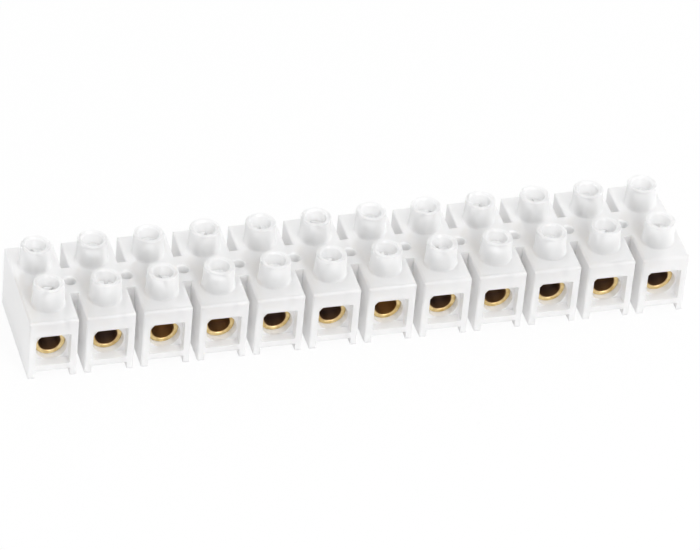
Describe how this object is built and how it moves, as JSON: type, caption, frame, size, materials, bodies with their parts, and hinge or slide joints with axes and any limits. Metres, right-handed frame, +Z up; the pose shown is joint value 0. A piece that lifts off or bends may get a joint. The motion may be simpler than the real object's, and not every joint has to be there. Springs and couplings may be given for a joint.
{
  "type": "terminal strip",
  "caption": "Strip of insulated screw connectors: a translucent moulding with brass tubes, clamping screws in chimneys and fixing holes between the poles.",
  "frame": {"origin": "under the middle of the strip, at the level of its feet", "axes": "+X along the row of poles, -Y towards the front openings, +Z up along the chimneys"},
  "size_m": [0.1364, 0.025, 0.0187],
  "materials": {
    "plastic": "natural translucent plastic, satin",
    "brass": "drawn brass tube with faced ends",
    "steel": "zinc plated steel, turned"
  },
  "bodies": {
    "strip": {"housing": "plastic", "insert_01": "brass", "insert_02": "brass", "insert_03": "brass", "insert_04": "brass", "insert_05": "brass", "insert_06": "brass", "insert_07": "brass", "insert_08": "brass", "insert_09": "brass", "insert_10": "brass", "insert_11": "brass", "insert_12": "brass"},
    "front_screw_01": {"front_screw_01": "steel"},
    "front_screw_02": {"front_screw_02": "steel"},
    "front_screw_03": {"front_screw_03": "steel"},
    "front_screw_04": {"front_screw_04": "steel"},
    "front_screw_05": {"front_screw_05": "steel"},
    "front_screw_06": {"front_screw_06": "steel"},
    "front_screw_07": {"front_screw_07": "steel"},
    "front_screw_08": {"front_screw_08": "steel"},
    "front_screw_09": {"front_screw_09": "steel"},
    "front_screw_10": {"front_screw_10": "steel"},
    "front_screw_11": {"front_screw_11": "steel"},
    "front_screw_12": {"front_screw_12": "steel"},
    "rear_screw_01": {"rear_screw_01": "steel"},
    "rear_screw_02": {"rear_screw_02": "steel"},
    "rear_screw_03": {"rear_screw_03": "steel"},
    "rear_screw_04": {"rear_screw_04": "steel"},
    "rear_screw_05": {"rear_screw_05": "steel"},
    "rear_screw_06": {"rear_screw_06": "steel"},
    "rear_screw_07": {"rear_screw_07": "steel"},
    "rear_screw_08": {"rear_screw_08": "steel"},
    "rear_screw_09": {"rear_screw_09": "steel"},
    "rear_screw_10": {"rear_screw_10": "steel"},
    "rear_screw_11": {"rear_screw_11": "steel"},
    "rear_screw_12": {"rear_screw_12": "steel"}
  },
  "joints": [
    {"name": "front_screw_01_travel", "type": "slide", "parent": "strip", "child": "front_screw_01", "axis": [0, 0, 1], "range_m": [-0.004, 0]},
    {"name": "front_screw_02_travel", "type": "slide", "parent": "strip", "child": "front_screw_02", "axis": [0, 0, 1], "range_m": [-0.004, 0]},
    {"name": "front_screw_03_travel", "type": "slide", "parent": "strip", "child": "front_screw_03", "axis": [0, 0, 1], "range_m": [-0.004, 0]},
    {"name": "front_screw_04_travel", "type": "slide", "parent": "strip", "child": "front_screw_04", "axis": [0, 0, 1], "range_m": [-0.004, 0]},
    {"name": "front_screw_05_travel", "type": "slide", "parent": "strip", "child": "front_screw_05", "axis": [0, 0, 1], "range_m": [-0.004, 0]},
    {"name": "front_screw_06_travel", "type": "slide", "parent": "strip", "child": "front_screw_06", "axis": [0, 0, 1], "range_m": [-0.004, 0]},
    {"name": "front_screw_07_travel", "type": "slide", "parent": "strip", "child": "front_screw_07", "axis": [0, 0, 1], "range_m": [-0.004, 0]},
    {"name": "front_screw_08_travel", "type": "slide", "parent": "strip", "child": "front_screw_08", "axis": [0, 0, 1], "range_m": [-0.004, 0]},
    {"name": "front_screw_09_travel", "type": "slide", "parent": "strip", "child": "front_screw_09", "axis": [0, 0, 1], "range_m": [-0.004, 0]},
    {"name": "front_screw_10_travel", "type": "slide", "parent": "strip", "child": "front_screw_10", "axis": [0, 0, 1], "range_m": [-0.004, 0]},
    {"name": "front_screw_11_travel", "type": "slide", "parent": "strip", "child": "front_screw_11", "axis": [0, 0, 1], "range_m": [-0.004, 0]},
    {"name": "front_screw_12_travel", "type": "slide", "parent": "strip", "child": "front_screw_12", "axis": [0, 0, 1], "range_m": [-0.004, 0]},
    {"name": "rear_screw_01_travel", "type": "slide", "parent": "strip", "child": "rear_screw_01", "axis": [0, 0, 1], "range_m": [-0.004, 0]},
    {"name": "rear_screw_02_travel", "type": "slide", "parent": "strip", "child": "rear_screw_02", "axis": [0, 0, 1], "range_m": [-0.004, 0]},
    {"name": "rear_screw_03_travel", "type": "slide", "parent": "strip", "child": "rear_screw_03", "axis": [0, 0, 1], "range_m": [-0.004, 0]},
    {"name": "rear_screw_04_travel", "type": "slide", "parent": "strip", "child": "rear_screw_04", "axis": [0, 0, 1], "range_m": [-0.004, 0]},
    {"name": "rear_screw_05_travel", "type": "slide", "parent": "strip", "child": "rear_screw_05", "axis": [0, 0, 1], "range_m": [-0.004, 0]},
    {"name": "rear_screw_06_travel", "type": "slide", "parent": "strip", "child": "rear_screw_06", "axis": [0, 0, 1], "range_m": [-0.004, 0]},
    {"name": "rear_screw_07_travel", "type": "slide", "parent": "strip", "child": "rear_screw_07", "axis": [0, 0, 1], "range_m": [-0.004, 0]},
    {"name": "rear_screw_08_travel", "type": "slide", "parent": "strip", "child": "rear_screw_08", "axis": [0, 0, 1], "range_m": [-0.004, 0]},
    {"name": "rear_screw_09_travel", "type": "slide", "parent": "strip", "child": "rear_screw_09", "axis": [0, 0, 1], "range_m": [-0.004, 0]},
    {"name": "rear_screw_10_travel", "type": "slide", "parent": "strip", "child": "rear_screw_10", "axis": [0, 0, 1], "range_m": [-0.004, 0]},
    {"name": "rear_screw_11_travel", "type": "slide", "parent": "strip", "child": "rear_screw_11", "axis": [0, 0, 1], "range_m": [-0.004, 0]},
    {"name": "rear_screw_12_travel", "type": "slide", "parent": "strip", "child": "rear_screw_12", "axis": [0, 0, 1], "range_m": [-0.004, 0]}
  ]
}
